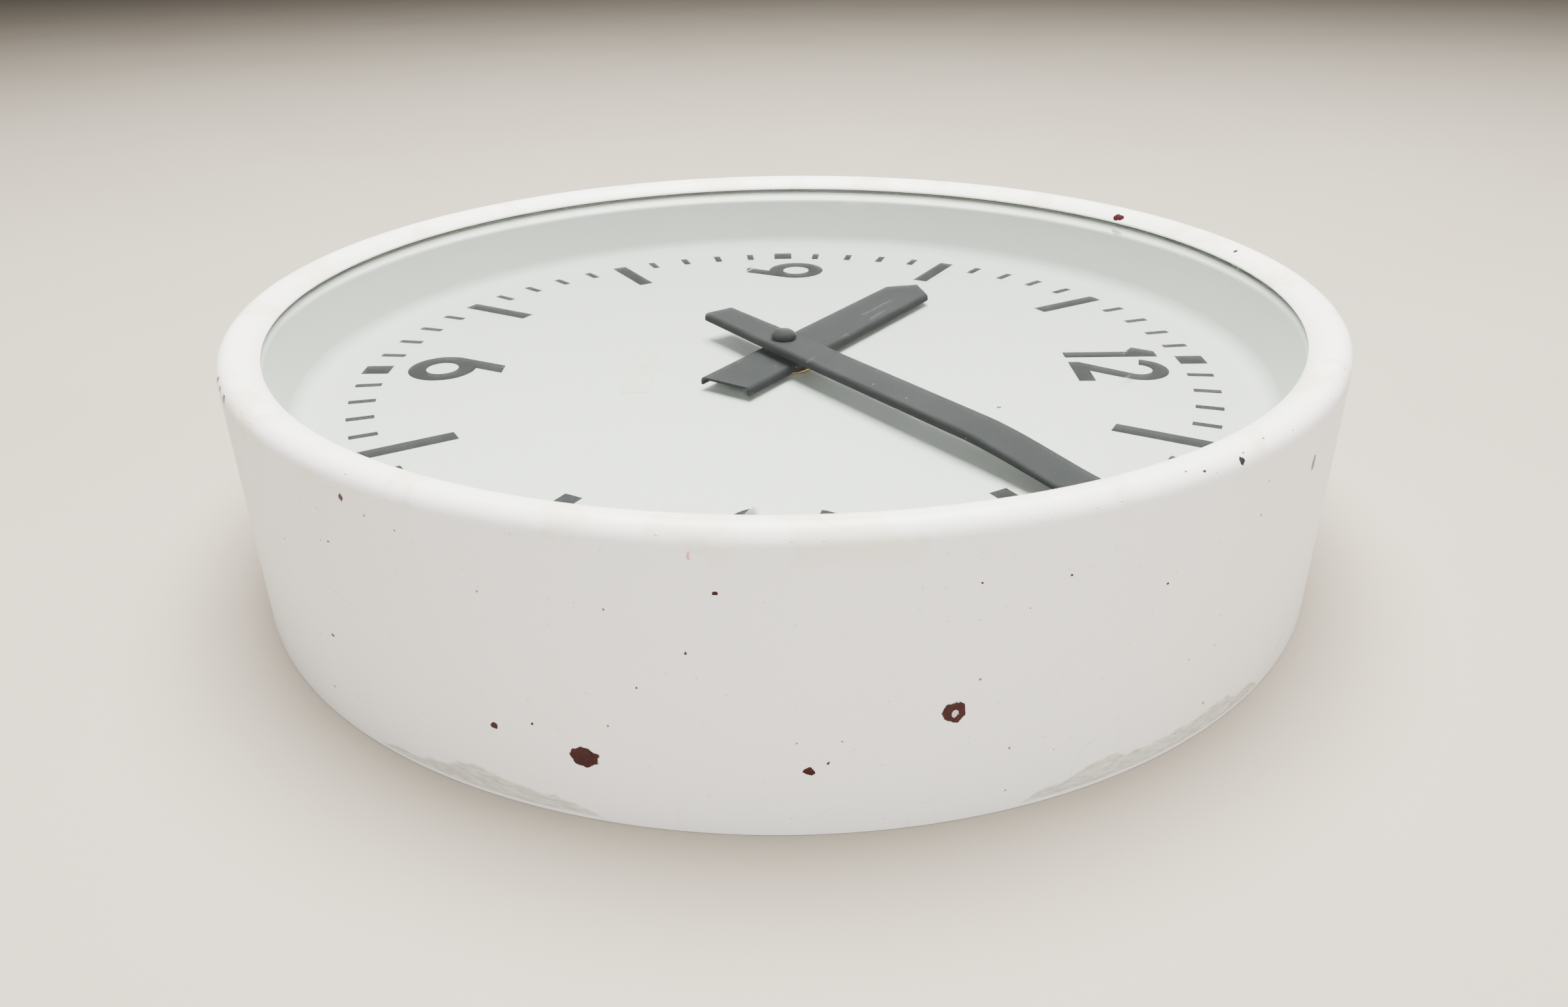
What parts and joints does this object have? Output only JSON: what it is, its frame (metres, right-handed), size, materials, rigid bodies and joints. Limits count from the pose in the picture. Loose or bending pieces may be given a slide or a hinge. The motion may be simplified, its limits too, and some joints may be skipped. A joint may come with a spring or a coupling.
{
  "type": "wall clock",
  "caption": "Round wall clock: deep drum case with rounded rim, glazed coved dial, hour and minute hands, and a battery movement behind the dial.",
  "frame": {"origin": "middle of the drum's rear edge plane, on the dial's axis, with the clock lying on its back", "axes": "+Z out of the dial, +Y towards 12, +X towards 3"},
  "size_m": [0.4, 0.4, 0.092],
  "materials": {
    "case_paint": "semi-gloss white enamel, chipped and dusty",
    "glass": "clear flat glass",
    "rubber": "matt black",
    "dial_paint": "satin off-white",
    "label_film": "aged clear film, yellowed, blank",
    "zinc_plate": "zinc-plated",
    "bright_steel": "bright",
    "black_plastic": "fine moulded texture",
    "brass": "slightly dull",
    "hand_paint": "matt dark grey",
    "gear_plastic": "natural moulded plastic",
    "magnet": "dark ferrite",
    "copper_wire": "enamelled copper wire",
    "board": "green solder mask",
    "battery_jacket": "plain shrink sleeve"
  },
  "bodies": {
    "clock_body": {"case_shell": "case_paint", "glass_gasket": "rubber", "glass_pane": "glass", "dial_pan": "dial_paint", "blank_label": "label_film", "inner_bracket_1": "zinc_plate", "dial_screw_1": "bright_steel", "dial_nut_1": "bright_steel", "cover_screw_1": "bright_steel", "inner_bracket_2": "zinc_plate", "dial_screw_2": "bright_steel", "dial_nut_2": "bright_steel", "cover_screw_2": "bright_steel", "inner_bracket_3": "zinc_plate", "dial_screw_3": "bright_steel", "dial_nut_3": "bright_steel", "cover_screw_3": "bright_steel", "inner_bracket_4": "zinc_plate", "dial_screw_4": "bright_steel", "dial_nut_4": "bright_steel", "cover_screw_4": "bright_steel", "rear_cover": "case_paint", "hanger_plate": "zinc_plate", "hanger_rivet_1": "bright_steel", "hanger_rivet_2": "bright_steel", "movement_case": "black_plastic", "movement_cover": "black_plastic", "movement_screw_1": "bright_steel", "movement_screw_2": "bright_steel", "threaded_bushing": "brass", "rubber_washer": "rubber", "brass_washer": "brass", "hex_nut": "brass", "stator": "bright_steel", "coil_core": "bright_steel", "coil": "copper_wire", "circuit_board": "board", "quartz_crystal": "bright_steel", "negative_contact": "bright_steel", "positive_contact": "bright_steel"},
    "minute_set": {"minute_hand": "hand_paint", "minute_collet": "hand_paint", "minute_arbor": "bright_steel", "centre_wheel": "gear_plastic", "hand_cap": "hand_paint"},
    "hour_set": {"hour_wheel": "gear_plastic", "hour_collet": "hand_paint", "hour_hand": "hand_paint"},
    "motion_set": {"motion_wheel": "gear_plastic", "setting_knob": "black_plastic"},
    "third_set": {"third_wheel": "gear_plastic"},
    "second_set": {"second_wheel": "gear_plastic"},
    "intermediate_set": {"intermediate_wheel": "gear_plastic"},
    "rotor_set": {"rotor": "magnet"},
    "battery_cell": {"battery": "battery_jacket"}
  },
  "joints": [
    {"name": "minute_turn", "type": "hinge", "parent": "clock_body", "child": "minute_set", "pos_m": [0, 0, 0.045], "axis": [0, 0, 1], "continuous": true},
    {"name": "hour_turn", "type": "hinge", "parent": "clock_body", "child": "hour_set", "pos_m": [0, 0, 0.045], "axis": [0, 0, 1], "continuous": true},
    {"name": "motion_turn", "type": "hinge", "parent": "clock_body", "child": "motion_set", "pos_m": [0.0116, 0.0116, 0.045], "axis": [0, 0, 1], "continuous": true},
    {"name": "third_turn", "type": "hinge", "parent": "clock_body", "child": "third_set", "pos_m": [-0.01145, 0.01145, 0.045], "axis": [0, 0, 1], "continuous": true},
    {"name": "second_turn", "type": "hinge", "parent": "clock_body", "child": "second_set", "pos_m": [0, 0, 0.045], "axis": [0, 0, 1], "continuous": true},
    {"name": "intermediate_turn", "type": "hinge", "parent": "clock_body", "child": "intermediate_set", "pos_m": [0.00899, -0.00292, 0.045], "axis": [0, 0, 1], "continuous": true},
    {"name": "rotor_turn", "type": "hinge", "parent": "clock_body", "child": "rotor_set", "pos_m": [0.01501, 0.0025, 0.045], "axis": [0, 0, 1], "continuous": true},
    {"name": "battery_slide", "type": "slide", "parent": "clock_body", "child": "battery_cell", "axis": [0, 0, -1], "range_m": [0, 0.03]}
  ],
  "couplings": [
    {"joint": "hour_turn", "follows": "minute_turn", "ratio": 0.083333},
    {"joint": "motion_turn", "follows": "minute_turn", "ratio": -0.33333},
    {"joint": "third_turn", "follows": "minute_turn", "ratio": -8},
    {"joint": "second_turn", "follows": "minute_turn", "ratio": 60},
    {"joint": "intermediate_turn", "follows": "minute_turn", "ratio": -360},
    {"joint": "rotor_turn", "follows": "minute_turn", "ratio": 1800}
  ]
}
